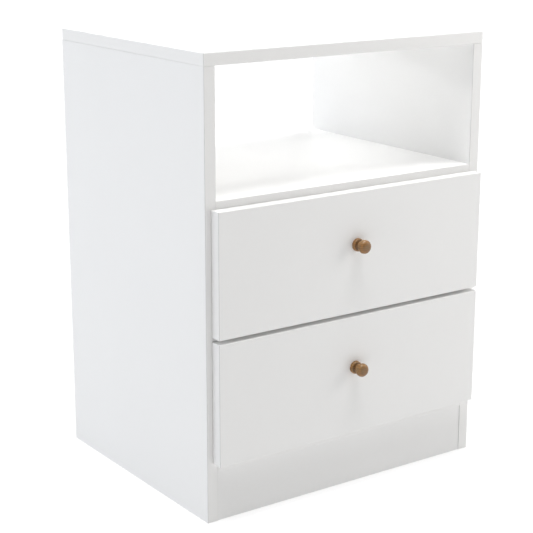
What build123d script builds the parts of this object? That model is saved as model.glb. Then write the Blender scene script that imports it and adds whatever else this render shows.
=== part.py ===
"""White two-drawer nightstand with an open niche under its top, in millimetres.

+Z is up, +X is to the right and the drawers open towards -Y. The origin is on the
floor, under the middle of the box that holds the whole nightstand, knobs included.
Boards are joined by dowels and by cam fittings whose cams are out of sight, and each
drawer runs on a pair of roller runners.
"""

from build123d import *

import os

# Carcass
WIDTH = 450.0
HEIGHT = 604.0
CARCASS_DEPTH = 360.0
BOARD = 16.0
NICHE_HEIGHT = 165.0
PLINTH_HEIGHT = 68.0
PLINTH_RECESS = 1.0
EDGE_RADIUS = 0.8
BACK_BOARD = 3.0
BACK_INSET = 10.0
BACK_GROOVE_DEPTH = 6.0
GROOVE_CLEARANCE = 0.2
CROSS_RAIL_DEPTH = 60.0

# Drawer fronts, which lie over the carcass's front edges
FRONT_BOARD = 16.0
FRONT_STANDOFF = 0.5
FRONT_SIDE_INSET = 8.5
FRONT_GAP = 5.2
FRONT_EDGE_RADIUS = 1.0
SHELF_REVEAL = 10.0
BOTTOM_REVEAL = 12.6

# Drawer boxes
DRAWER_BOARD = 12.0
DRAWER_BOX_RAISE = 30.0
DRAWER_BOX_DROP = 23.0
DRAWER_BOTTOM = 3.0
DRAWER_BOTTOM_RAISE = 10.0
DRAWER_GROOVE_DEPTH = 6.0

# Roller runners, one pair to a drawer
RUNNER_LENGTH = 300.0
RUNNER_SETBACK = 2.0
RUNNER_GAP = 12.5
RUNNER_TRAVEL = 220.0
STEEL = 1.2
RAIL_FLANGE_GAP = 1.3
RAIL_COVER_GAP = 3.3
RUNNER_FLANGE_GAP = 1.1
RUNNER_SUPPORT = 9.0
FLANGE_CLEARANCE = 0.8
ROLLER_DIAMETER = 15.0
ROLLER_WIDTH = 5.5
ROLLER_CLEARANCE = 0.3
ROLLER_GROOVE = 0.8
RAIL_ROLLER_SETBACK = 14.0
RUNNER_ROLLER_SETBACK = 10.0
STOP_LUG_DROP = 4.6
STOP_LUG_CLEARANCE = 0.5
AXLE_DIAMETER = 4.0
AXLE_HEAD_DIAMETER = 7.0
AXLE_HEAD = 0.6
AXLE_PLAY = 0.05
RUNNER_SCREW_FRONT_SETBACK = 40.0
RUNNER_SCREW_REAR_SETBACK = 70.0
RUNNER_SCREW_LENGTH = 10.0
RUNNER_SCREW_DIAMETER = 3.5
RUNNER_SCREW_HEAD_DIAMETER = 6.5
RUNNER_SCREW_HEAD = 0.8

# Turned wooden knob, held by a screw from inside the drawer
KNOB_LENGTH = 21.0
KNOB_BASE_RADIUS = 8.7
KNOB_BASE_LENGTH = 5.1
KNOB_BASE_ROUND = 2.4
KNOB_NECK_RADIUS = 5.2
KNOB_NECK_WIDTH = 2.4
KNOB_COLLAR_RADIUS = 6.7
KNOB_COLLAR_AT = 8.4
KNOB_HEAD_RADIUS = 9.1
KNOB_HEAD_AT = 14.5
KNOB_FACE_RADIUS = 2.0
KNOB_DROP = 71.0
KNOB_BORE_DEPTH = 12.5
KNOB_SCREW_DIAMETER = 4.0
KNOB_SCREW_HEAD_DIAMETER = 8.0
KNOB_SCREW_HEAD = 2.6
KNOB_SCREW_END_GAP = 2.0

# Cam fittings and dowels
CAM_RADIUS = 7.4
CAM_LENGTH = 11.5
CAM_DISTANCE = 24.0
DRAWER_CAM_RADIUS = 5.9
DRAWER_CAM_LENGTH = 9.6
CAM_SLOT_LENGTH = 7.0
CAM_SLOT_WIDTH = 1.4
CAM_SLOT_DEPTH = 2.6
BOLT_THREAD_RADIUS = 2.9
BOLT_THREAD_LENGTH = 10.0
BOLT_SHANK_RADIUS = 3.2
BOLT_NECK_RADIUS = 1.9
BOLT_NECK_LENGTH = 3.6
BOLT_HEAD_RADIUS = 3.0
BOLT_HEAD_LENGTH = 3.2
BOLT_HEAD_PAST_CENTRE = 1.0
DOWEL_RADIUS = 3.9
DOWEL_IN_FACE = 9.0
DOWEL_IN_EDGE = 20.0
DRAWER_DOWEL_RADIUS = 2.9
BORE_CLEARANCE = 0.1
BORE_END_GAP = 1.0
CARCASS_CAM_SETBACK = 60.0
CARCASS_DOWEL_SETBACK = 110.0
CROSS_RAIL_CAM_SETBACK = 40.0
CROSS_RAIL_DOWEL_SETBACK = 15.0
TOP_DOWEL_SETBACK = 45.0
PLINTH_CAM_UP = 54.0
PLINTH_DOWEL_UP = 24.0
DRAWER_CAM_DROP = 32.0
DRAWER_DOWEL_UP = 30.0

# Screws and nails of the drawer boxes
BOX_SCREW_LENGTH = 35.0
BOX_SCREW_DIAMETER = 3.5
BOX_SCREW_HEAD_DIAMETER = 7.0
BOX_SCREW_HEAD = 2.6
BOX_SCREW_END_MARGIN = 24.0
NAIL_LENGTH = 16.0
NAIL_DIAMETER = 1.6
NAIL_HEAD_DIAMETER = 4.0
NAIL_HEAD = 0.8
NAIL_END_MARGIN = 60.0
SCREW_CLEARANCE = 0.05
SCREW_TIP_DIAMETER = 0.9
CROSS_SLOT_WIDTH = 0.9
CROSS_SLOT_MARGIN = 1.4

# Places that follow from the sizes above
HALF = WIDTH / 2
INNER_HALF = HALF - BOARD
FRONT_PROJECTION = FRONT_STANDOFF + FRONT_BOARD
TOTAL_DEPTH = CARCASS_DEPTH + FRONT_PROJECTION + KNOB_LENGTH
REAR_Y = TOTAL_DEPTH / 2
CARCASS_Y = REAR_Y - CARCASS_DEPTH
FRONT_BACK_Y = CARCASS_Y - FRONT_STANDOFF
FRONT_FACE_Y = FRONT_BACK_Y - FRONT_BOARD
SIDE_TOP_Z = HEIGHT - BOARD
SHELF_TOP_Z = SIDE_TOP_Z - NICHE_HEIGHT
SHELF_Z = SHELF_TOP_Z - BOARD
BOTTOM_TOP_Z = PLINTH_HEIGHT + BOARD
FRONT_WIDTH = WIDTH - 2 * FRONT_SIDE_INSET
FRONTS_LOW_Z = PLINTH_HEIGHT + BOTTOM_REVEAL
FRONTS_HIGH_Z = SHELF_TOP_Z - SHELF_REVEAL
FRONT_HEIGHT = (FRONTS_HIGH_Z - FRONTS_LOW_Z - FRONT_GAP) / 2
FRONT_LOW_Z = {"lower": FRONTS_LOW_Z, "upper": FRONTS_LOW_Z + FRONT_HEIGHT + FRONT_GAP}
GAP_MID_Z = FRONT_LOW_Z["upper"] - FRONT_GAP / 2
DRAWER_BOX_HEIGHT = FRONT_HEIGHT - DRAWER_BOX_RAISE - DRAWER_BOX_DROP
BOX_HALF = INNER_HALF - RUNNER_GAP
BOX_INNER_HALF = BOX_HALF - DRAWER_BOARD
RUNNER_Y = CARCASS_Y + RUNNER_SETBACK
RUNNER_END_Y = RUNNER_Y + RUNNER_LENGTH
BOX_BACK_Y = RUNNER_END_Y - DRAWER_BOARD
BACK_BOARD_Y = REAR_Y - BACK_INSET - BACK_BOARD
RAIL_FLANGE = RUNNER_GAP - STEEL - RAIL_FLANGE_GAP
RAIL_COVER = RUNNER_GAP - STEEL - RAIL_COVER_GAP
RUNNER_TOP_FLANGE = RUNNER_GAP - 2 * STEEL - RUNNER_FLANGE_GAP
RUNNER_SCREW_REAR = RUNNER_LENGTH - RUNNER_SCREW_REAR_SETBACK
RUNNER_SCREW_MIDDLE = (RUNNER_SCREW_FRONT_SETBACK + RUNNER_SCREW_REAR) / 2
RUNNER_SCREW_SETBACKS = (RUNNER_SCREW_FRONT_SETBACK, RUNNER_SCREW_MIDDLE, RUNNER_SCREW_REAR)
ROLLER_RADIUS = ROLLER_DIAMETER / 2
CHANNEL_HEIGHT = ROLLER_DIAMETER + 2 * ROLLER_CLEARANCE
RUNNER_FLANGE_UP = CHANNEL_HEIGHT + STEEL + FLANGE_CLEARANCE
RAIL_ROLLER_UP = RUNNER_FLANGE_UP - ROLLER_CLEARANCE - ROLLER_RADIUS
RUNNER_ROLLER_UP = ROLLER_CLEARANCE + ROLLER_RADIUS
RAIL_ROLLER_Y = RUNNER_Y + RAIL_ROLLER_SETBACK
RUNNER_ROLLER_Y = RUNNER_END_Y - RUNNER_ROLLER_SETBACK
STOP_LUG_Y = RUNNER_ROLLER_Y - RUNNER_TRAVEL - ROLLER_RADIUS - STOP_LUG_CLEARANCE
CARCASS_CAM_YS = (CARCASS_Y + CARCASS_CAM_SETBACK, REAR_Y - CARCASS_CAM_SETBACK)
CARCASS_DOWEL_YS = (CARCASS_Y + CARCASS_DOWEL_SETBACK, REAR_Y - CARCASS_DOWEL_SETBACK)
TOP_DOWEL_YS = (CARCASS_Y + TOP_DOWEL_SETBACK, (CARCASS_Y + REAR_Y) / 2, REAR_Y - TOP_DOWEL_SETBACK)
PLINTH_MID_Y = CARCASS_Y + PLINTH_RECESS + BOARD / 2
BOLT_REACH = CAM_DISTANCE + BOLT_HEAD_PAST_CENTRE

LEVELS = ("upper", "lower")
FROM_BASE = (Align.CENTER, Align.CENTER, Align.MIN)


def block(x0, x1, y0, y1, z0, z1):
    """A box between two corners."""
    return Pos((x0 + x1) / 2, (y0 + y1) / 2, (z0 + z1) / 2) * Box(x1 - x0, y1 - y0, z1 - z0)


def rod(radius, start, end):
    """A round bar along a joint's local Z."""
    return Pos(0, 0, start) * Cylinder(radius, end - start, align=FROM_BASE)


def along(point, direction, turn=(0, 1, 0)):
    """A local frame at point, with its Z along direction and its X along turn."""
    return Plane(origin=point, z_dir=direction, x_dir=turn)


def mirrored(shapes):
    """The same pieces on the other side of the nightstand."""
    return [shape.mirror(Plane.YZ) for shape in shapes]


def drilled(board, tools):
    """A board with its bores cut."""
    return board - tools if tools else board


def edges_along(board, axis):
    return board.edges().filter_by(axis)


class Joinery:
    """Fasteners of one assembly and the bores that they need, kept by board."""

    def __init__(self):
        self.pieces = {}
        self.bores = {}

    def piece(self, node, shapes):
        self.pieces.setdefault(node, []).extend(shapes)

    def bore(self, board, tools):
        self.bores.setdefault(board, []).extend(tools)

    def drill(self, name, board):
        return drilled(board, self.bores.get(name, []))


def cam_lock(frame, board, radius, length):
    """A cam in the board that a bolt enters through its edge, open to the frame's -X face."""
    axis = along((-board / 2, 0, CAM_DISTANCE), (1, 0, 0))
    body = axis * rod(radius, 0, length)
    hollow = rod(BOLT_SHANK_RADIUS + BORE_CLEARANCE, 0, BOLT_REACH + BORE_CLEARANCE)
    slot = Box(CAM_SLOT_LENGTH, CAM_SLOT_WIDTH, 2 * CAM_SLOT_DEPTH)
    cross = [axis * slot, axis * Rot(0, 0, 90) * slot]
    return frame * (body - [hollow, *cross])


def cam_pocket(frame, board, radius, length):
    axis = along((-board / 2, 0, CAM_DISTANCE), (1, 0, 0))
    pocket = axis * rod(radius + BORE_CLEARANCE, 0, length + BORE_CLEARANCE)
    way_in = rod(BOLT_SHANK_RADIUS + BORE_CLEARANCE, 0, BOLT_REACH + BORE_CLEARANCE)
    return [frame * pocket, frame * way_in]


def cam_bolt(frame):
    """A bolt whose thread is in one board and whose head is held by the other board's cam."""
    neck_end = BOLT_REACH - BOLT_HEAD_LENGTH
    shank_end = neck_end - BOLT_NECK_LENGTH
    thread = rod(BOLT_THREAD_RADIUS, -BOLT_THREAD_LENGTH, 0)
    shank = rod(BOLT_SHANK_RADIUS, 0, shank_end)
    neck = rod(BOLT_NECK_RADIUS, shank_end, neck_end)
    head = rod(BOLT_HEAD_RADIUS, neck_end, BOLT_REACH)
    return frame * (thread + [shank, neck, head])


def bolt_bore(frame):
    return [frame * rod(BOLT_THREAD_RADIUS + BORE_CLEARANCE, -BOLT_THREAD_LENGTH - BORE_END_GAP, 0)]


def dowel(frame, radius):
    return frame * chamfer_ends(rod(radius, -DOWEL_IN_FACE, DOWEL_IN_EDGE))


def chamfer_ends(bar):
    return chamfer(bar.edges().filter_by(GeomType.CIRCLE), BORE_END_GAP)


def dowel_bores(frame, radius):
    """The bore in the board whose face is met, and the one in the other board's edge."""
    face = rod(radius + BORE_CLEARANCE, -DOWEL_IN_FACE - BORE_END_GAP, 0)
    edge = rod(radius + BORE_CLEARANCE, 0, DOWEL_IN_EDGE + BORE_END_GAP)
    return frame * face, frame * edge


def pointed_shank(start, length, diameter):
    """A screw's shank from start to its point, whose taper is as long as the shank is thick."""
    taper = Cone(diameter / 2, SCREW_TIP_DIAMETER / 2, diameter, align=FROM_BASE)
    return rod(diameter / 2, start, length - diameter) + Pos(0, 0, length - diameter) * taper


def flat_screw(frame, length, diameter, head_diameter, head):
    """A countersunk wood screw whose head is flush with the frame's origin, driven along +Z."""
    cone = Cone(head_diameter / 2, diameter / 2, head, align=FROM_BASE)
    shank = pointed_shank(head, length, diameter)
    return frame * (cone + shank - cross_slots(head_diameter, head))


def flat_screw_bore(frame, length, diameter, head_diameter, head):
    sink = Cone(head_diameter / 2 + SCREW_CLEARANCE, diameter / 2 + SCREW_CLEARANCE, head, align=FROM_BASE)
    return [frame * sink, frame * rod(diameter / 2 + SCREW_CLEARANCE, head, length + BORE_END_GAP)]


def low_screw(frame, length, diameter, head_diameter, head):
    """A screw with a thin flat head that lies outside the frame's origin, driven along +Z."""
    cap = rod(head_diameter / 2, -head, 0)
    shank = pointed_shank(0, length, diameter)
    slots = [Pos(0, 0, -head) * slot for slot in cross_slots(head_diameter, head)]
    return frame * (cap + shank - slots)


def low_screw_bore(frame, length, diameter):
    return [frame * rod(diameter / 2 + SCREW_CLEARANCE, 0, length + BORE_END_GAP)]


def cross_slots(head_diameter, head):
    slot = Box(head_diameter - 2 * CROSS_SLOT_MARGIN, CROSS_SLOT_WIDTH, head)
    return [slot, Rot(0, 0, 90) * slot]


def join_by_cams(joinery, nodes, frames, face_board, edge_board, board, radius, length):
    """Cam fittings at each frame, between a board's face and another board's edge."""
    bolts, cams = nodes
    for frame in frames:
        joinery.piece(bolts, [cam_bolt(frame)])
        joinery.piece(cams, [cam_lock(frame, board, radius, length)])
        joinery.bore(face_board, bolt_bore(frame))
        joinery.bore(edge_board, cam_pocket(frame, board, radius, length))


def join_by_dowels(joinery, node, frames, face_board, edge_board, radius):
    for frame in frames:
        face, edge = dowel_bores(frame, radius)
        joinery.piece(node, [dowel(frame, radius)])
        joinery.bore(face_board, [face])
        joinery.bore(edge_board, [edge])


def join_carcass():
    """Every fitting of the carcass: cams below each level board and rail, behind the plinth."""
    joinery = Joinery()
    cams = ("cam_bolts", "cam_locks")
    for side, hand in (("side_panel_left", -1), ("side_panel_right", 1)):
        inward = (-hand, 0, 0)
        face_x = hand * INNER_HALF
        for board, low_z in (("niche_shelf", SHELF_Z), ("bottom_panel", PLINTH_HEIGHT)):
            mid_z = low_z + BOARD / 2
            cam_frames = [along((face_x, y, mid_z), inward, (0, 0, 1)) for y in CARCASS_CAM_YS]
            dowel_frames = [along((face_x, y, mid_z), inward) for y in CARCASS_DOWEL_YS]
            join_by_cams(joinery, cams, cam_frames, side, board, BOARD, CAM_RADIUS, CAM_LENGTH)
            join_by_dowels(joinery, "carcass_dowels", dowel_frames, side, board, DOWEL_RADIUS)
        rail_cam = along((face_x, CARCASS_Y + CROSS_RAIL_CAM_SETBACK, GAP_MID_Z), inward, (0, 0, 1))
        rail_dowel = along((face_x, CARCASS_Y + CROSS_RAIL_DOWEL_SETBACK, GAP_MID_Z), inward)
        join_by_cams(joinery, cams, [rail_cam], side, "cross_rail", BOARD, CAM_RADIUS, CAM_LENGTH)
        join_by_dowels(joinery, "carcass_dowels", [rail_dowel], side, "cross_rail", DOWEL_RADIUS)
        plinth_cam = along((face_x, PLINTH_MID_Y, PLINTH_CAM_UP), inward, (0, -1, 0))
        plinth_dowel = along((face_x, PLINTH_MID_Y, PLINTH_DOWEL_UP), inward)
        join_by_cams(joinery, cams, [plinth_cam], side, "plinth", BOARD, CAM_RADIUS, CAM_LENGTH)
        join_by_dowels(joinery, "carcass_dowels", [plinth_dowel], side, "plinth", DOWEL_RADIUS)
        side_mid_x = hand * (HALF - BOARD / 2)
        top_frames = [along((side_mid_x, y, SIDE_TOP_Z), (0, 0, -1)) for y in TOP_DOWEL_YS]
        join_by_dowels(joinery, "carcass_dowels", top_frames, "top_panel", side, DOWEL_RADIUS)
    return joinery


def back_groove(x0, x1, z0, z1):
    """Room for the back board in the boards around it."""
    return block(
        x0, x1, BACK_BOARD_Y - GROOVE_CLEARANCE, BACK_BOARD_Y + BACK_BOARD + GROOVE_CLEARANCE, z0, z1
    )


def top_panel(joinery):
    board = block(-HALF, HALF, CARCASS_Y, REAR_Y, SIDE_TOP_Z, HEIGHT)
    return joinery.drill("top_panel", fillet(board.edges(), EDGE_RADIUS))


def side_panel(joinery, name, hand):
    board = block(-HALF, -INNER_HALF, CARCASS_Y, REAR_Y, 0, SIDE_TOP_Z)
    front_edges = edges_along(board, Axis.Z).sort_by(Axis.Y)[:2]
    board = fillet(front_edges, EDGE_RADIUS)
    groove_low = BOTTOM_TOP_Z - BACK_GROOVE_DEPTH
    groove_high = SHELF_Z + BACK_GROOVE_DEPTH
    board -= back_groove(-INNER_HALF - BACK_GROOVE_DEPTH, -INNER_HALF, groove_low, groove_high)
    if hand > 0:
        board = board.mirror(Plane.YZ)
    return joinery.drill(name, board)


def level_board(joinery, name, low_z, groove_z):
    """A shelf between the sides, with a groove for the back board starting at groove_z."""
    board = block(-INNER_HALF, INNER_HALF, CARCASS_Y, REAR_Y, low_z, low_z + BOARD)
    front_edges = edges_along(board, Axis.X).sort_by(Axis.Y)[:2]
    board = fillet(front_edges, EDGE_RADIUS)
    board -= back_groove(-INNER_HALF, INNER_HALF, groove_z, groove_z + BACK_GROOVE_DEPTH)
    return joinery.drill(name, board)


def cross_rail(joinery):
    """A rail between the sides, behind the gap between the drawer fronts."""
    low_z = GAP_MID_Z - BOARD / 2
    rear_y = CARCASS_Y + CROSS_RAIL_DEPTH
    board = block(-INNER_HALF, INNER_HALF, CARCASS_Y, rear_y, low_z, low_z + BOARD)
    front_edges = edges_along(board, Axis.X).sort_by(Axis.Y)[:2]
    return joinery.drill("cross_rail", fillet(front_edges, EDGE_RADIUS))


def plinth(joinery):
    front_y = CARCASS_Y + PLINTH_RECESS
    board = block(-INNER_HALF, INNER_HALF, front_y, front_y + BOARD, 0, PLINTH_HEIGHT)
    return joinery.drill("plinth", board)


def back_panel():
    reach = BACK_GROOVE_DEPTH - GROOVE_CLEARANCE
    half = INNER_HALF + reach
    return block(
        -half, half, BACK_BOARD_Y, BACK_BOARD_Y + BACK_BOARD, BOTTOM_TOP_Z - reach, SHELF_Z + reach
    )


def rail_x(inward):
    """X on the left side at a distance inward from the carcass side's face."""
    return -INNER_HALF + inward


def box_low_z(level):
    return FRONT_LOW_Z[level] + DRAWER_BOX_RAISE


def roller_seat():
    """How far inward from the carcass side the rollers start and end."""
    start = (RUNNER_GAP - ROLLER_WIDTH) / 2
    return start, start + ROLLER_WIDTH


def screw_row(level, inward, direction):
    """Where a runner's screws go in, on the left side."""
    up = box_low_z(level) + RUNNER_ROLLER_UP
    return [along((rail_x(inward), RUNNER_Y + back, up), direction) for back in RUNNER_SCREW_SETBACKS]


def rail_screw_frames(level):
    return screw_row(level, STEEL, (-1, 0, 0))


def runner_screw_frames(level):
    return screw_row(level, RUNNER_GAP - STEEL, (1, 0, 0))


def rail(level):
    """The left runner's fixed channel, open towards the drawer, with a lug that stops the drawer."""
    z = box_low_z(level)
    top = z + CHANNEL_HEIGHT
    hold_down_y = RAIL_ROLLER_Y + ROLLER_RADIUS + 2 * STEEL
    web = block(rail_x(0), rail_x(STEEL), RUNNER_Y, RUNNER_END_Y, z - STEEL, top + STEEL)
    track = block(rail_x(STEEL), rail_x(RAIL_FLANGE), RUNNER_Y, RUNNER_END_Y, z - STEEL, z)
    cover = block(rail_x(STEEL), rail_x(RAIL_COVER), hold_down_y, RUNNER_END_Y, top, top + STEEL)
    lug = block(rail_x(STEEL), rail_x(RAIL_COVER), STOP_LUG_Y - STEEL, STOP_LUG_Y, top - STOP_LUG_DROP, top)
    holes = [tool for frame in rail_screw_frames(level) for tool in screw_hole_in_steel(frame)]
    return drilled(web + [track, cover, lug], [*holes, axle_hole(rail_roller_frame(level))])


def runner(level):
    """The left runner's moving profile: it carries the drawer's side and rides on the rail's roller."""
    z = box_low_z(level)
    top = z + RUNNER_FLANGE_UP
    inner = rail_x(RUNNER_GAP)
    outer = inner - STEEL
    web = block(outer, inner, RUNNER_Y, RUNNER_END_Y, z - STEEL, top + STEEL)
    support = block(inner, inner + RUNNER_SUPPORT, RUNNER_Y, RUNNER_END_Y, z - STEEL, z)
    flange = block(outer - RUNNER_TOP_FLANGE, outer, RUNNER_Y, RUNNER_END_Y, top, top + STEEL)
    holes = [tool for frame in runner_screw_frames(level) for tool in screw_hole_in_steel(frame)]
    return drilled(web + [support, flange], [*holes, axle_hole(runner_roller_frame(level))])


def screw_hole_in_steel(frame):
    return [frame * rod(RUNNER_SCREW_DIAMETER / 2 + SCREW_CLEARANCE, -STEEL, 2 * STEEL)]


def rail_roller_frame(level):
    """The fixed roller's axle on the left side, from the carcass side's face inward."""
    return along((rail_x(0), RAIL_ROLLER_Y, box_low_z(level) + RAIL_ROLLER_UP), (1, 0, 0))


def runner_roller_frame(level):
    """The moving roller's axle on the left side, from the drawer side's face outward."""
    return along((rail_x(RUNNER_GAP), RUNNER_ROLLER_Y, box_low_z(level) + RUNNER_ROLLER_UP), (-1, 0, 0))


def axle_hole(frame):
    return frame * rod(AXLE_DIAMETER / 2, 0, STEEL)


def axle(frame):
    """A pin riveted into the steel, whose head keeps the roller on."""
    head_start = roller_seat()[1] + 2 * AXLE_PLAY
    pin = rod(AXLE_DIAMETER / 2, 0, head_start)
    collar = rod(AXLE_HEAD_DIAMETER / 2, STEEL, roller_seat()[0] - 2 * AXLE_PLAY)
    head = rod(AXLE_HEAD_DIAMETER / 2, head_start, head_start + AXLE_HEAD)
    return frame * (pin + [collar, head])


def roller(frame):
    """A plastic wheel with a shallow groove round its tread."""
    start, end = roller_seat()
    third = (end - start) / 3
    wheel = rod(ROLLER_RADIUS, start, end)
    tread = rod(ROLLER_RADIUS + ROLLER_GROOVE, start + third, end - third)
    core = rod(ROLLER_RADIUS - ROLLER_GROOVE, start + third, end - third)
    bore = rod(AXLE_DIAMETER / 2 + AXLE_PLAY, start, end)
    return frame * (wheel - [tread - core, bore])


def screw_runner_rails(joinery):
    """Screws that hold the rails to the carcass sides."""
    size = (RUNNER_SCREW_LENGTH, RUNNER_SCREW_DIAMETER)
    frames = [frame for level in LEVELS for frame in rail_screw_frames(level)]
    for frame in frames:
        screw = low_screw(frame, *size, RUNNER_SCREW_HEAD_DIAMETER, RUNNER_SCREW_HEAD)
        bores = low_screw_bore(frame, *size)
        joinery.piece("rail_screws", [screw, *mirrored([screw])])
        joinery.bore("side_panel_left", bores)
        joinery.bore("side_panel_right", mirrored(bores))


def join_drawer(level):
    """Every fastener of one drawer, on both sides."""
    joinery = Joinery()
    low = box_low_z(level)
    cam_z = low + DRAWER_BOX_HEIGHT - DRAWER_CAM_DROP
    cams = (f"{level}_drawer_cam_bolts", f"{level}_drawer_cam_locks")
    for hand, side in ((-1, "side_left"), (1, "side_right")):
        mid_x = hand * (BOX_HALF - DRAWER_BOARD / 2)
        cam = along((mid_x, FRONT_BACK_Y, cam_z), (0, 1, 0), (hand, 0, 0))
        pin = along((mid_x, FRONT_BACK_Y, low + DRAWER_DOWEL_UP), (0, 1, 0), (1, 0, 0))
        join_by_cams(joinery, cams, [cam], "front", side, DRAWER_BOARD, DRAWER_CAM_RADIUS, DRAWER_CAM_LENGTH)
        join_by_dowels(joinery, f"{level}_drawer_dowels", [pin], "front", side, DRAWER_DOWEL_RADIUS)
        screw_box_back(joinery, level, hand, side)
    screw_runners(joinery, level)
    nail_bottom(joinery, level)
    return joinery


def screw_box_back(joinery, level, hand, side):
    size = (BOX_SCREW_LENGTH, BOX_SCREW_DIAMETER, BOX_SCREW_HEAD_DIAMETER, BOX_SCREW_HEAD)
    low = box_low_z(level)
    low_screw_z = low + DRAWER_BOTTOM_RAISE + BOX_SCREW_END_MARGIN
    high_screw_z = low + DRAWER_BOX_HEIGHT - BOX_SCREW_END_MARGIN
    mid_y = BOX_BACK_Y + DRAWER_BOARD / 2
    for z in (low_screw_z, high_screw_z):
        frame = along((hand * BOX_HALF, mid_y, z), (-hand, 0, 0))
        joinery.piece(f"{level}_drawer_back_screws", [flat_screw(frame, *size)])
        for board in (side, "back"):
            joinery.bore(board, flat_screw_bore(frame, *size))


def screw_runners(joinery, level):
    size = (RUNNER_SCREW_LENGTH, RUNNER_SCREW_DIAMETER)
    for frame in runner_screw_frames(level):
        screw = low_screw(frame, *size, RUNNER_SCREW_HEAD_DIAMETER, RUNNER_SCREW_HEAD)
        bores = low_screw_bore(frame, *size)
        joinery.piece(f"{level}_drawer_runner_screws", [screw, *mirrored([screw])])
        joinery.bore("side_left", bores)
        joinery.bore("side_right", mirrored(bores))


def nail_bottom(joinery, level):
    """Nails through the drawer's bottom board, up into the box's back."""
    under = box_low_z(level) + DRAWER_BOTTOM_RAISE
    mid_y = BOX_BACK_Y + DRAWER_BOARD / 2
    reach = BOX_INNER_HALF - NAIL_END_MARGIN
    for x in (-reach, 0, reach):
        frame = along((x, mid_y, under), (0, 0, 1))
        nail = frame * (rod(NAIL_DIAMETER / 2, 0, NAIL_LENGTH) + rod(NAIL_HEAD_DIAMETER / 2, -NAIL_HEAD, 0))
        hole = frame * rod(NAIL_DIAMETER / 2 + SCREW_CLEARANCE, 0, NAIL_LENGTH + BORE_END_GAP)
        joinery.piece(f"{level}_drawer_bottom_nails", [nail])
        joinery.bore("bottom", [hole])
        joinery.bore("back", [hole])


def bottom_groove(level, x0, x1, y0, y1):
    """Room for the drawer's bottom board."""
    z = box_low_z(level) + DRAWER_BOTTOM_RAISE
    return block(x0, x1, y0, y1, z - GROOVE_CLEARANCE, z + DRAWER_BOTTOM + GROOVE_CLEARANCE)


def knob_z(level):
    return FRONT_LOW_Z[level] + FRONT_HEIGHT - KNOB_DROP


def knob_frame(level):
    """The knob's seat on the drawer front, with its Z towards the room."""
    return along((0, FRONT_FACE_Y, knob_z(level)), (0, -1, 0), (1, 0, 0))


def drawer_front(joinery, level):
    low = FRONT_LOW_Z[level]
    board = block(-FRONT_WIDTH / 2, FRONT_WIDTH / 2, FRONT_FACE_Y, FRONT_BACK_Y, low, low + FRONT_HEIGHT)
    face = board.faces().sort_by(Axis.Y)[0]
    corners = edges_along(board, Axis.Y)
    board = fillet([*face.edges(), *corners], FRONT_EDGE_RADIUS)
    reach = BOX_INNER_HALF + DRAWER_GROOVE_DEPTH
    board -= bottom_groove(level, -reach, reach, FRONT_BACK_Y - DRAWER_GROOVE_DEPTH, FRONT_BACK_Y)
    board -= knob_frame(level) * rod(KNOB_SCREW_DIAMETER / 2 + BORE_CLEARANCE, -FRONT_BOARD, 0)
    return joinery.drill("front", board)


def drawer_side(joinery, level, name, hand):
    low = box_low_z(level)
    board = block(-BOX_HALF, -BOX_INNER_HALF, FRONT_BACK_Y, RUNNER_END_Y, low, low + DRAWER_BOX_HEIGHT)
    top_edges = edges_along(board, Axis.Y).sort_by(Axis.Z)[2:]
    board = fillet(top_edges, EDGE_RADIUS)
    groove_x = -BOX_INNER_HALF - DRAWER_GROOVE_DEPTH
    board -= bottom_groove(level, groove_x, -BOX_INNER_HALF, FRONT_BACK_Y, RUNNER_END_Y)
    if hand > 0:
        board = board.mirror(Plane.YZ)
    return joinery.drill(name, board)


def drawer_back(joinery, level):
    low = box_low_z(level)
    floor = low + DRAWER_BOTTOM_RAISE + DRAWER_BOTTOM
    board = block(
        -BOX_INNER_HALF, BOX_INNER_HALF, BOX_BACK_Y, RUNNER_END_Y, floor, low + DRAWER_BOX_HEIGHT
    )
    board = fillet(edges_along(board, Axis.X).sort_by(Axis.Z)[2:], EDGE_RADIUS)
    return joinery.drill("back", board)


def drawer_bottom(joinery, level):
    reach = DRAWER_GROOVE_DEPTH - GROOVE_CLEARANCE
    half = BOX_INNER_HALF + reach
    under = box_low_z(level) + DRAWER_BOTTOM_RAISE
    board = block(-half, half, FRONT_BACK_Y - reach, RUNNER_END_Y, under, under + DRAWER_BOTTOM)
    return joinery.drill("bottom", board)


def knob(level):
    """A turned knob: a base with a rounded shoulder, a groove, and a head that closes in a dome."""
    shoulder = (KNOB_BASE_RADIUS - KNOB_BASE_ROUND, KNOB_BASE_LENGTH - KNOB_BASE_ROUND)
    neck_start = KNOB_COLLAR_AT - KNOB_NECK_WIDTH
    base_end = (shoulder[0], KNOB_BASE_LENGTH)
    collar = (KNOB_COLLAR_RADIUS, KNOB_COLLAR_AT)
    fullest = (KNOB_HEAD_RADIUS, KNOB_HEAD_AT)
    face_edge = (KNOB_FACE_RADIUS, KNOB_LENGTH)
    tip = (0, KNOB_LENGTH)
    base = Polyline((0, 0), (KNOB_BASE_RADIUS, 0), (KNOB_BASE_RADIUS, shoulder[1]))
    rounding = CenterArc(shoulder, KNOB_BASE_ROUND, 0, 90)
    groove = Polyline(base_end, (KNOB_NECK_RADIUS, neck_start), (KNOB_NECK_RADIUS, KNOB_COLLAR_AT), collar)
    swell = Spline(collar, fullest, face_edge, tangents=[(1, 2), (-1, 0)])
    face = Line(face_edge, tip)
    middle = Line(tip, (0, 0))
    section = make_face([base, rounding, groove, swell, face, middle])
    turned = revolve(Plane.XZ * section, Axis.Z)
    bore = rod(KNOB_SCREW_DIAMETER / 2 + SCREW_CLEARANCE, 0, KNOB_BORE_DEPTH)
    return knob_frame(level) * (turned - bore)


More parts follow.
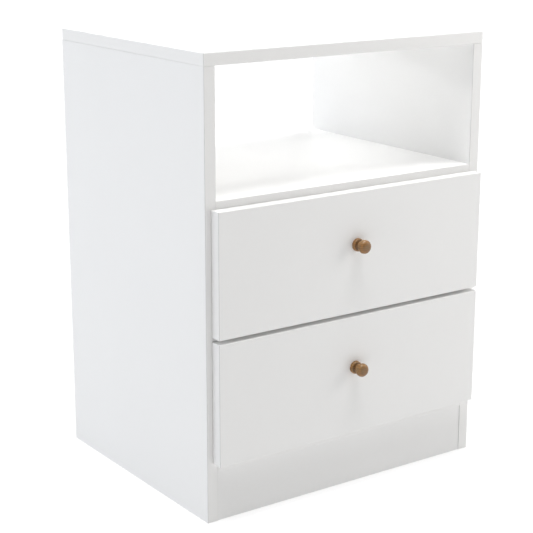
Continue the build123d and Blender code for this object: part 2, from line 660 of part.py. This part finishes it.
def knob_screw(level):
    inside = -FRONT_BOARD
    end = KNOB_BORE_DEPTH - KNOB_SCREW_END_GAP
    shank = rod(KNOB_SCREW_DIAMETER / 2, inside, end)
    head = fillet(
        rod(KNOB_SCREW_HEAD_DIAMETER / 2, inside - KNOB_SCREW_HEAD, inside).edges().sort_by(Axis.Z)[0],
        KNOB_SCREW_HEAD / 2,
    )
    slots = [
        Pos(0, 0, inside - KNOB_SCREW_HEAD) * slot
        for slot in cross_slots(KNOB_SCREW_HEAD_DIAMETER, KNOB_SCREW_HEAD)
    ]
    return knob_frame(level) * (shank + head - slots)


def carcass_nodes():
    joinery = join_carcass()
    screw_runner_rails(joinery)
    nodes = {
        "top_panel": [top_panel(joinery)],
        "side_panel_left": [side_panel(joinery, "side_panel_left", -1)],
        "side_panel_right": [side_panel(joinery, "side_panel_right", 1)],
        "niche_shelf": [level_board(joinery, "niche_shelf", SHELF_Z, SHELF_Z)],
        "bottom_panel": [
            level_board(joinery, "bottom_panel", PLINTH_HEIGHT, BOTTOM_TOP_Z - BACK_GROOVE_DEPTH)
        ],
        "cross_rail": [cross_rail(joinery)],
        "plinth": [plinth(joinery)],
        "back_panel": [back_panel()],
    }
    axles = [axle(rail_roller_frame(level)) for level in LEVELS]
    nodes["rail_roller_axles"] = axles + mirrored(axles)
    for level in LEVELS:
        fixed = rail(level)
        wheel = roller(rail_roller_frame(level))
        for side, shapes in (("left", [fixed, wheel]), ("right", mirrored([fixed, wheel]))):
            nodes[f"{level}_{side}_rail"], nodes[f"{level}_{side}_rail_roller"] = [[s] for s in shapes]
    return {**nodes, **joinery.pieces}


def drawer_nodes(level):
    joinery = join_drawer(level)
    moving = runner(level)
    wheel = roller(runner_roller_frame(level))
    pin = axle(runner_roller_frame(level))
    pieces = {
        "front": [drawer_front(joinery, level)],
        "side_left": [drawer_side(joinery, level, "side_left", -1)],
        "side_right": [drawer_side(joinery, level, "side_right", 1)],
        "back": [drawer_back(joinery, level)],
        "bottom": [drawer_bottom(joinery, level)],
        "knob": [knob(level)],
        "knob_screw": [knob_screw(level)],
        "runner_left": [moving],
        "runner_right": mirrored([moving]),
        "roller_left": [wheel],
        "roller_right": mirrored([wheel]),
        "roller_axles": [pin, *mirrored([pin])],
    }
    return {**{f"{level}_drawer_{name}": shapes for name, shapes in pieces.items()}, **joinery.pieces}


def main():
    os.makedirs("parts", exist_ok=True)
    nodes = carcass_nodes()
    for level in LEVELS:
        nodes.update(drawer_nodes(level))
    for name, shapes in nodes.items():
        solids = [solid for shape in shapes for solid in shape.solids()]
        export_step(solids[0] if len(solids) == 1 else Compound(solids), f"parts/{name}.step")


main()
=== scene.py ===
"""Looks of the white nightstand: its boards, drawers, runners and knobs, and the studio round it."""

import math

import bpy
from mathutils import Euler, Matrix, Vector


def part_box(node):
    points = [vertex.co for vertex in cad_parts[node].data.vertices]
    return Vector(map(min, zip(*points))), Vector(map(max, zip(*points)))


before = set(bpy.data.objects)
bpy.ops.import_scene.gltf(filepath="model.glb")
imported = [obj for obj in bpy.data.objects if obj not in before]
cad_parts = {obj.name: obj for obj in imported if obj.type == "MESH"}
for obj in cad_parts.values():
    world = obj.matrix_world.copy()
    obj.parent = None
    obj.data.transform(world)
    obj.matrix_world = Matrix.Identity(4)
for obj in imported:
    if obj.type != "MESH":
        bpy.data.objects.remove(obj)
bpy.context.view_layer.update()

# Camera, fitted to the boards' edges and corners in the photograph, in metres and degrees,
# with its sensor and lens in millimetres
CAMERA_PLACE = (-1.13856, -1.58444, 0.80097)
CAMERA_TURN = -35.232
CAMERA_DIP = 15.147
CAMERA_ROLL = 0.096
CAMERA_SENSOR = 36.0
CAMERA_LENS = 96.388

# Studio: a pale floor that glows, a dim sky, three broad suns, a lamp on each side
# and two strips behind the niche, in metres, watts and degrees
FLOOR_SIZE = 600.0
FLOOR_GLOW = 0.745
SKY_STRENGTH = 0.10
OVERHEAD_STRENGTH = 4.05
OVERHEAD_SPREAD = 40.0
REAR_LEFT_FROM = (-0.55, 0.65, 0.5)
REAR_LEFT_STRENGTH = 0.35
REAR_LEFT_SPREAD = 70.0
LEFT_LOW_FROM = (-1.0, 0.25, 0.1)
LEFT_LOW_STRENGTH = 0.48
LEFT_LOW_SPREAD = 60.0
LEFT_LAMP_PLACE = (-1.4, 0.9, 0.45)
LEFT_LAMP_AIM = (-0.2, 0.0, 0.35)
LEFT_LAMP_POWER = 2.7
LEFT_LAMP_SIZE = (0.9, 0.9)
RIGHT_LAMP_PLACE = (1.4, -0.95, 0.9)
RIGHT_LAMP_AIM = (0.0, 0.0, 0.3)
RIGHT_LAMP_POWER = 9.0
RIGHT_LAMP_SIZE = (0.9, 0.9)
STRIP_PLACE = (0.0, 1.1, 0.60)
STRIP_AIM = (0.0, 0.02, 0.47)
STRIP_POWER = 0.36
STRIP_SIZE = (0.42, 0.12)
STRIP_SPREAD = 35.0
HIGH_STRIP_PLACE = (0.0, 1.5, 0.80)
HIGH_STRIP_AIM = (0.0, -0.08, 0.43)
HIGH_STRIP_POWER = 1.14
HIGH_STRIP_SIZE = (0.42, 0.12)
HIGH_STRIP_SPREAD = 25.0
COOL_LIGHT = (0.87, 0.93, 1.0)
BLUE_LIGHT = (0.80, 0.86, 1.0)
WARM_LIGHT = (1.0, 0.98, 0.95)
WHITE_LIGHT = (1.0, 1.0, 1.0)

# Colours of the finishes, and the least roughness of the metals
BOARD_DARK = (0.860, 0.858, 0.851)
BOARD_LIGHT = (0.875, 0.873, 0.866)
BOARD_BAND = (0.850, 0.844, 0.832)
# Painted light on the top and bottom lips of the drawer fronts
BOARD_LIP_LIGHT = (0.945, 0.943, 0.937)
# Painted shade down the boards' rounded vertical corners
BOARD_CORNER_SHADE = (0.450, 0.447, 0.440)
CHIP_DARK = (0.20, 0.12, 0.06)
CHIP_LIGHT = (0.55, 0.40, 0.24)
CHIP_FIBRE = (0.70, 0.56, 0.38)
HARDBOARD_DARK = (0.16, 0.085, 0.042)
HARDBOARD_LIGHT = (0.33, 0.20, 0.11)
HARDBOARD_CLOUD = (0.27, 0.165, 0.09)
LACQUER_DARK = (0.73, 0.725, 0.71)
LACQUER_LIGHT = (0.79, 0.785, 0.77)
DRAWER_DARK = (0.76, 0.757, 0.745)
DRAWER_LIGHT = (0.81, 0.807, 0.797)
KNOB_YELLOW = (0.300, 0.180, 0.068)
KNOB_RED = (0.385, 0.180, 0.056)
KNOB_RING = (0.205, 0.108, 0.036)
KNOB_END_GRAIN = (0.150, 0.095, 0.050)
KNOB_PORE = (0.095, 0.040, 0.011)
# Painted shade in the knobs' groove
KNOB_GROOVE_SHADE = (0.090, 0.040, 0.010)
BEECH_DARK = (0.60, 0.43, 0.26)
BEECH_LIGHT = (0.70, 0.53, 0.34)
BEECH_FLECK = (0.36, 0.22, 0.11)
ENAMEL_DARK = (0.74, 0.74, 0.725)
ENAMEL_LIGHT = (0.80, 0.80, 0.785)
ENAMEL_RUBBED = (0.50, 0.50, 0.49)
NYLON_DARK = (0.76, 0.76, 0.735)
NYLON_LIGHT = (0.83, 0.83, 0.81)
ZINC_LIGHT = (0.74, 0.75, 0.78)
ZINC_DARK = (0.56, 0.57, 0.60)
ZINC_ROUGHNESS = 0.22
CAST_LIGHT = (0.60, 0.60, 0.62)
CAST_DARK = (0.42, 0.42, 0.44)
CAST_ROUGHNESS = 0.36
FLOOR_DARK = (0.24, 0.24, 0.24)
FLOOR_LIGHT = (0.26, 0.26, 0.26)

# How nearly a face looks along an axis to count as one that faces that way
SQUARE_ON = 0.9

# Where the carcass boards are cut bare, in metres
REAR_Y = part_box("side_panel_left")[1].y
CUT_DEPTH = 0.0004

# The knobs' groove, in metres out from the drawer fronts
KNOB_SEAT_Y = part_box("upper_drawer_knob")[1].y
GROOVE_MIDDLE = 0.0067
GROOVE_HALF = 0.0014
GROOVE_END = 0.0022

LEVELS = ("upper", "lower")
SIDES = ("left", "right")


class Tone:
    """A value in a finish's node tree. Maths on it adds the Math nodes that work it out."""

    def __init__(self, finish, socket):
        self.finish = finish
        self.socket = socket

    def maths(self, operation, first, second):
        return self.finish.node("ShaderNodeMath", {"operation": operation}, {0: first, 1: second})

    def __add__(self, other):
        return self.maths("ADD", self, other)

    def __sub__(self, other):
        return self.maths("SUBTRACT", self, other)

    def __rsub__(self, other):
        return self.maths("SUBTRACT", other, self)

    def __mul__(self, other):
        return self.maths("MULTIPLY", self, other)

    def __gt__(self, other):
        return self.maths("GREATER_THAN", self, other)

    def __lt__(self, other):
        return self.maths("LESS_THAN", self, other)

    def __abs__(self):
        return self.maths("ABSOLUTE", self, 0.0)

    __radd__ = __add__
    __rmul__ = __mul__


class Finish:
    """One material: a Principled shader and the nodes that feed it."""

    def __init__(self, name, **constants):
        self.material = bpy.data.materials.new(name)
        self.material.use_nodes = True
        self.tree = self.material.node_tree
        self.shader = self.tree.nodes["Principled BSDF"]
        for socket, value in constants.items():
            self.feed(socket.replace("_", " "), value)

    def node(self, kind, settings=None, sockets=None, output=0):
        """Adds a node: its settings first, then the values or links of its sockets."""
        made = self.tree.nodes.new(kind)
        for key, value in (settings or {}).items():
            setattr(made, key, value)
        for key, value in (sockets or {}).items():
            self.join(made.inputs[key], value)
        return Tone(self, made.outputs[output])

    def join(self, socket, value):
        if isinstance(value, Tone):
            self.tree.links.new(value.socket, socket)
        else:
            socket.default_value = value

    def feed(self, socket, value):
        self.join(self.shader.inputs[socket], value)

    def place(self):
        """Where a point is on its piece, in metres in the nightstand's own frame."""
        return self.node("ShaderNodeTexCoord", output="Object")

    def facing(self, axis):
        """How far the surface looks along an axis, from -1 to 1."""
        normal = self.node("ShaderNodeTexCoord", output="Normal")
        return self.node("ShaderNodeSeparateXYZ", sockets={0: normal}, output=axis)

    def along(self, axis):
        return self.node("ShaderNodeSeparateXYZ", sockets={0: self.place()}, output=axis)

    def stretched(self, scale, shift=(0.0, 0.0, 0.0)):
        """The place, scaled along each axis."""
        sockets = {"Vector": self.place(), "Scale": scale, "Location": shift}
        return self.node("ShaderNodeMapping", sockets=sockets)

    def noise(self, where, scale, detail, rough, twist=0.0):
        sockets = {"Vector": where, "Scale": scale, "Detail": detail, "Roughness": rough}
        return self.node("ShaderNodeTexNoise", sockets={**sockets, "Distortion": twist})

    def cells(self, where, scale, output="Distance"):
        return self.node("ShaderNodeTexVoronoi", sockets={"Vector": where, "Scale": scale}, output=output)

    def spread(self, value, low, high, to_low=0.0, to_high=1.0):
        """Stretches a value's range from low..high to another one, held at its ends."""
        sockets = {"Value": value, "From Min": low, "From Max": high, "To Min": to_low, "To Max": to_high}
        return self.node("ShaderNodeMapRange", {"clamp": True}, sockets)

    def mix(self, share, first, second):
        """A colour between two colours."""
        first, second = (c if isinstance(c, Tone) else (*c, 1.0) for c in (first, second))
        return self.node("ShaderNodeMix", {"data_type": "RGBA"}, {0: share, 6: first, 7: second}, output=2)

    def bump(self, height, depth, strength):
        sockets = {"Height": height, "Distance": depth, "Strength": strength}
        self.feed("Normal", self.node("ShaderNodeBump", sockets=sockets))


def chipboard_colour(finish):
    """Bare chipboard: pressed chips in tans and browns."""
    chips = finish.cells(finish.place(), 420.0, "Color")
    tint = finish.node("ShaderNodeSeparateColor", sockets={0: chips}, output=0)
    tone = finish.mix(tint, CHIP_DARK, CHIP_LIGHT)
    fibre = finish.noise(finish.place(), 900.0, detail=4.0, rough=0.7)
    return finish.mix(fibre * 0.45, tone, CHIP_FIBRE)


def hardboard_colour(finish):
    """Bare hardboard: fine brown fibres."""
    fibre = finish.noise(finish.place(), 650.0, detail=6.0, rough=0.75, twist=1.2)
    cloud = finish.noise(finish.place(), 18.0, detail=3.0, rough=0.6)
    tone = finish.mix(finish.spread(fibre, 0.3, 0.7), HARDBOARD_DARK, HARDBOARD_LIGHT)
    return finish.mix(cloud * 0.35, tone, HARDBOARD_CLOUD)


def white_board(name, thin_axis, painted_lip_light=0.0):
    """Chipboard faced in satin white: smoother bands on its edges, painted shade down its rounded
    corners, bare chips on the floor and at the rear, and painted light on drawer fronts' top and bottom
    lips."""
    finish = Finish(name, Specular_IOR_Level=0.42)
    place = finish.place()
    cloud = finish.noise(place, 7.0, detail=3.0, rough=0.55)
    grain = finish.noise(place, 240.0, detail=4.0, rough=0.65)
    pearl = finish.noise(place, 1300.0, detail=2.0, rough=0.5)
    band = 1.0 - finish.spread(abs(finish.facing(thin_axis)), 0.25, 0.75)
    speckle = finish.spread(cloud * 0.6 + grain * 0.4, 0.35, 0.65)
    face = finish.mix(speckle, BOARD_DARK, BOARD_LIGHT)
    banded = finish.mix(band * 0.5, face, BOARD_BAND)
    # Painted light: faces looking up or down are made paler on the boards that ask for it
    lips = finish.spread(abs(finish.facing("Z")), 0.93, 0.99) * painted_lip_light
    lip_lit = finish.mix(lips, banded, BOARD_LIP_LIGHT)
    turns = [finish.spread(abs(finish.facing(axis)), 0.2, 0.45) for axis in ("X", "Y")]
    # Painted shade: the rounded corners, where the face turns between X and Y, are darkened
    corner_shaded = finish.mix(turns[0] * turns[1] * 0.45, lip_lit, BOARD_CORNER_SHADE)
    foot = (finish.along("Z") < CUT_DEPTH) * (finish.facing("Z") < -SQUARE_ON)
    rear = (finish.along("Y") > REAR_Y - CUT_DEPTH) * (finish.facing("Y") > SQUARE_ON)
    bare = foot + rear
    finish.feed("Base Color", finish.mix(bare, corner_shaded, chipboard_colour(finish)))
    satin = finish.spread(cloud + pearl * 0.5, 0.4, 1.1, 0.36, 0.52)
    finish.feed("Roughness", satin - band * 0.05 + bare * 0.4)
    finish.bump((1.0 - band * 0.7) * (pearl + grain * 0.4), depth=0.00005, strength=0.55)
    return finish.material


def drawer_board(name):
    """Thin white-faced board of the drawer boxes, bare on its lower edge."""
    finish = Finish(name, Specular_IOR_Level=0.4)
    cloud = finish.noise(finish.place(), 9.0, detail=3.0, rough=0.55)
    pearl = finish.noise(finish.place(), 1100.0, detail=3.0, rough=0.55)
    face = finish.mix(finish.spread(cloud * 0.7 + pearl * 0.3, 0.3, 0.7), DRAWER_DARK, DRAWER_LIGHT)
    bare = finish.facing("Z") < -SQUARE_ON
    finish.feed("Base Color", finish.mix(bare, face, chipboard_colour(finish)))
    finish.feed("Roughness", finish.spread(cloud, 0.3, 0.7, 0.42, 0.56) + bare * 0.3)
    chips = finish.noise(finish.place(), 500.0, detail=4.0, rough=0.7)
    finish.bump(pearl + bare * chips, depth=0.00006, strength=0.6)
    return finish.material


def white_hardboard(name, bare_axis, bare_sign):
    """Thin hardboard: lacquered white inside, bare brown fibres with a pressed mesh outside."""
    finish = Finish(name, Specular_IOR_Level=0.35)
    place = finish.place()
    cloud = finish.noise(place, 11.0, detail=3.0, rough=0.6)
    pearl = finish.noise(place, 900.0, detail=3.0, rough=0.6)
    bare = finish.facing(bare_axis) * bare_sign > 0.5
    white = finish.mix(finish.spread(cloud, 0.3, 0.7), LACQUER_DARK, LACQUER_LIGHT)
    weave = finish.cells(place, 330.0)
    finish.feed("Base Color", finish.mix(bare, white, hardboard_colour(finish)))
    finish.feed("Roughness", finish.spread(pearl, 0.3, 0.7, 0.44, 0.58) + bare * 0.28)
    finish.bump(pearl * 0.4 + bare * weave, depth=0.00016, strength=0.7)
    return finish.material


def turned_wood(name):
    """Stained, waxed wood of the knobs: rings on the face, fibres along it, painted shade in the groove."""
    finish = Finish(name, Specular_IOR_Level=0.4, Coat_Roughness=0.3)
    fibres = finish.noise(finish.stretched((900.0, 70.0, 900.0)), 1.0, detail=5.0, rough=0.65)
    drawn = finish.stretched((1.0, 0.12, 1.0), (0.004, 0.0, 0.0025))
    wander = finish.noise(drawn, 140.0, detail=3.0, rough=0.55)
    settings = {"wave_type": "RINGS", "rings_direction": "Y", "wave_profile": "SIN"}
    sockets = {"Vector": drawn, "Scale": 120.0, "Distortion": 3.2, "Detail": 3.0, "Detail Scale": 1.6}
    rings = finish.node("ShaderNodeTexWave", settings, sockets, output=1)
    grain = finish.spread(rings * 0.55 + wander * 0.45, 0.2, 0.8)
    patch = finish.spread(finish.noise(finish.place(), 230.0, detail=2.0, rough=0.5), 0.38, 0.62)
    pale = finish.mix(patch, KNOB_YELLOW, KNOB_RED)
    ringed = finish.mix(grain * 0.75, pale, KNOB_RING)
    end_grain = finish.spread(finish.facing("Y"), -0.78, -0.97)
    faced = finish.mix(end_grain * 0.4, ringed, KNOB_END_GRAIN)
    pores = finish.spread(fibres, 0.60, 0.74)
    worn = finish.mix(pores * 0.55, faced, KNOB_PORE)
    # Painted shade: the wood is darkened in the knob's groove
    from_groove = abs(KNOB_SEAT_Y - finish.along("Y") - GROOVE_MIDDLE)
    groove = finish.spread(from_groove, GROOVE_END, GROOVE_HALF)
    finish.feed("Base Color", finish.mix(groove * 0.6, worn, KNOB_GROOVE_SHADE))
    finish.feed("Roughness", finish.spread(fibres + grain * 0.4, 0.4, 1.0, 0.34, 0.52))
    finish.feed("Coat Weight", finish.spread(grain, 0.0, 1.0, 0.12, 0.28))
    finish.bump(fibres * 0.6 + grain * 0.4, depth=0.00006, strength=0.6)
    return finish.material


def beech(name):
    """Bare beech of the dowels."""
    finish = Finish(name, Specular_IOR_Level=0.35)
    fleck = finish.noise(finish.place(), 700.0, detail=4.0, rough=0.7)
    tone = finish.noise(finish.place(), 60.0, detail=3.0, rough=0.5)
    colour = finish.mix(tone, BEECH_DARK, BEECH_LIGHT)
    finish.feed("Base Color", finish.mix(finish.spread(fleck, 0.58, 0.72) * 0.6, colour, BEECH_FLECK))
    finish.feed("Roughness", finish.spread(fleck, 0.3, 0.7, 0.55, 0.7))
    finish.bump(fleck, depth=0.00008, strength=0.6)
    return finish.material


def white_enamel(name):
    """Baked white enamel on the runners' steel, rubbed where the rollers run."""
    finish = Finish(name, Specular_IOR_Level=0.5)
    peel = finish.noise(finish.place(), 520.0, detail=2.0, rough=0.45)
    cloud = finish.noise(finish.place(), 24.0, detail=3.0, rough=0.6)
    streak = finish.noise(finish.stretched((700.0, 12.0, 700.0)), 1.0, detail=3.0, rough=0.6)
    rubbed = finish.spread(abs(finish.facing("Z")), 0.8, 1.0) * finish.spread(streak, 0.52, 0.68)
    white = finish.mix(cloud, ENAMEL_DARK, ENAMEL_LIGHT)
    finish.feed("Base Color", finish.mix(rubbed * 0.35, white, ENAMEL_RUBBED))
    finish.feed("Roughness", finish.spread(peel + cloud * 0.4, 0.4, 1.0, 0.24, 0.4) + rubbed * 0.12)
    finish.bump(peel, depth=0.00012, strength=0.5)
    return finish.material


def nylon(name):
    """Moulded white plastic of the rollers."""
    finish = Finish(name, Specular_IOR_Level=0.45, Subsurface_Weight=0.08)
    mould = finish.noise(finish.place(), 850.0, detail=3.0, rough=0.5)
    cloud = finish.noise(finish.place(), 130.0, detail=2.0, rough=0.5)
    finish.feed("Base Color", finish.mix(cloud, NYLON_DARK, NYLON_LIGHT))
    finish.feed("Roughness", finish.spread(mould, 0.3, 0.7, 0.34, 0.5))
    finish.bump(mould, depth=0.00004, strength=0.5)
    return finish.material


def zinc(name, bright, dull, roughness):
    """Zinc on steel, or cast zinc: a bluish grey metal with a fine spangle."""
    finish = Finish(name)
    spangle = finish.cells(finish.place(), 900.0)
    brushed = finish.noise(finish.stretched((1500.0, 1500.0, 200.0)), 1.0, detail=3.0, rough=0.6)
    finish.feed("Base Color", finish.mix(finish.spread(spangle + brushed * 0.5, 0.2, 1.0), dull, bright))
    finish.feed("Metallic", finish.spread(brushed, 0.0, 1.0, 0.92, 1.0))
    finish.feed("Roughness", finish.spread(brushed, 0.3, 0.7, roughness, roughness + 0.16))
    finish.bump(brushed, depth=0.00003, strength=0.5)
    return finish.material


def dress(nodes, material):
    for name in nodes:
        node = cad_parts[name]
        node.data.materials.clear()
        node.data.materials.append(material)


def of_drawers(*names):
    return [f"{level}_drawer_{name}" for level in LEVELS for name in names]


def dress_nightstand():
    dress(["side_panel_left", "side_panel_right"], white_board("white_board_upright", "X"))
    dress(["top_panel", "niche_shelf", "bottom_panel"], white_board("white_board_level", "Z"))
    dress(["plinth"], white_board("white_board_plinth", "Y"))
    # The fronts and cross rail get painted light on their top and bottom lips
    dress(["cross_rail", *of_drawers("front")], white_board("white_board_front", "Y", 1.0))
    dress(of_drawers("side_left", "side_right", "back"), drawer_board("white_drawer_board"))
    dress(["back_panel"], white_hardboard("hardboard_back", "Y", 1.0))
    dress(of_drawers("bottom"), white_hardboard("hardboard_drawer_bottom", "Z", -1.0))
    dress(of_drawers("knob"), turned_wood("turned_wood"))
    dress(["carcass_dowels", *of_drawers("dowels")], beech("beech_dowel"))
    rails = [f"{level}_{side}_rail" for level in LEVELS for side in SIDES]
    dress([*rails, *of_drawers("runner_left", "runner_right")], white_enamel("white_enamelled_steel"))
    rollers = [f"{rail}_roller" for rail in rails]
    dress([*rollers, *of_drawers("roller_left", "roller_right")], nylon("white_nylon"))
    bright = zinc("bright_zinc", ZINC_LIGHT, ZINC_DARK, ZINC_ROUGHNESS)
    cast = zinc("cast_zinc", CAST_LIGHT, CAST_DARK, CAST_ROUGHNESS)
    steel = ("knob_screw", "runner_screws", "roller_axles", "cam_bolts", "back_screws", "bottom_nails")
    dress(["cam_bolts", "rail_screws", "rail_roller_axles", *of_drawers(*steel)], bright)
    dress(["cam_locks", *of_drawers("cam_locks")], cast)


def add_object(name, data):
    made = bpy.data.objects.new(name, data)
    bpy.context.scene.collection.objects.link(made)
    return made


def studio_floor():
    half = FLOOR_SIZE / 2
    corners = [(-half, -half, 0.0), (half, -half, 0.0), (half, half, 0.0), (-half, half, 0.0)]
    mesh = bpy.data.meshes.new("studio_floor")
    mesh.from_pydata(corners, [], [(0, 1, 2, 3)])
    floor = add_object("studio_floor", mesh)
    finish = Finish("pale_floor", Specular_IOR_Level=0.1, Emission_Strength=FLOOR_GLOW)
    finish.feed("Emission Color", (*WHITE_LIGHT, 1.0))
    cloud = finish.noise(finish.place(), 1.4, detail=3.0, rough=0.5)
    finish.feed("Base Color", finish.mix(cloud, FLOOR_DARK, FLOOR_LIGHT))
    finish.feed("Roughness", finish.spread(cloud, 0.2, 0.8, 0.8, 0.95))
    mesh.materials.append(finish.material)


def point_light(light, away):
    light.rotation_euler = Vector(away).to_track_quat("Z", "Y").to_euler()


def broad_sun(name, away, strength, spread, colour):
    """Daylight from one side of the room, soft as through a large blind."""
    sun = bpy.data.lights.new(name, "SUN")
    sun.energy = strength
    sun.angle = math.radians(spread)
    sun.color = colour
    point_light(add_object(name, sun), away)


def soft_box(name, place, aim, power, size, colour, spread=180.0):
    """A rectangular studio lamp, turned to what it lights."""
    lamp = bpy.data.lights.new(name, "AREA")
    lamp.shape = "RECTANGLE"
    lamp.size, lamp.size_y = size
    lamp.energy = power
    lamp.spread = math.radians(spread)
    lamp.color = colour
    light = add_object(name, lamp)
    light.location = place
    point_light(light, Vector(place) - Vector(aim))


def studio_lights():
    world = bpy.data.worlds.new("studio_sky")
    world.use_nodes = True
    sky = world.node_tree.nodes["Background"]
    sky.inputs["Color"].default_value = (*WHITE_LIGHT, 1.0)
    sky.inputs["Strength"].default_value = SKY_STRENGTH
    bpy.context.scene.world = world
    broad_sun("overhead", (0.0, 0.0, 1.0), OVERHEAD_STRENGTH, OVERHEAD_SPREAD, WHITE_LIGHT)
    broad_sun("rear_left", REAR_LEFT_FROM, REAR_LEFT_STRENGTH, REAR_LEFT_SPREAD, COOL_LIGHT)
    broad_sun("left_low", LEFT_LOW_FROM, LEFT_LOW_STRENGTH, LEFT_LOW_SPREAD, BLUE_LIGHT)
    soft_box("left_lamp", LEFT_LAMP_PLACE, LEFT_LAMP_AIM, LEFT_LAMP_POWER, LEFT_LAMP_SIZE, COOL_LIGHT)
    soft_box("right_lamp", RIGHT_LAMP_PLACE, RIGHT_LAMP_AIM, RIGHT_LAMP_POWER, RIGHT_LAMP_SIZE, WARM_LIGHT)
    soft_box("niche_strip", STRIP_PLACE, STRIP_AIM, STRIP_POWER, STRIP_SIZE, WHITE_LIGHT, STRIP_SPREAD)
    soft_box("high_strip", HIGH_STRIP_PLACE, HIGH_STRIP_AIM, HIGH_STRIP_POWER, HIGH_STRIP_SIZE, WHITE_LIGHT,
             HIGH_STRIP_SPREAD)


def photo_camera():
    lens = bpy.data.cameras.new("photo_camera")
    lens.sensor_width = CAMERA_SENSOR
    lens.lens = CAMERA_LENS
    camera = add_object("photo_camera", lens)
    camera.location = CAMERA_PLACE
    level = Euler((math.radians(90.0 - CAMERA_DIP), 0.0, math.radians(CAMERA_TURN))).to_matrix()
    camera.rotation_euler = (level @ Matrix.Rotation(math.radians(CAMERA_ROLL), 3, "Z")).to_euler()
    bpy.context.scene.camera = camera


dress_nightstand()
studio_floor()
studio_lights()
photo_camera()
bpy.context.scene.view_settings.view_transform = "Standard"
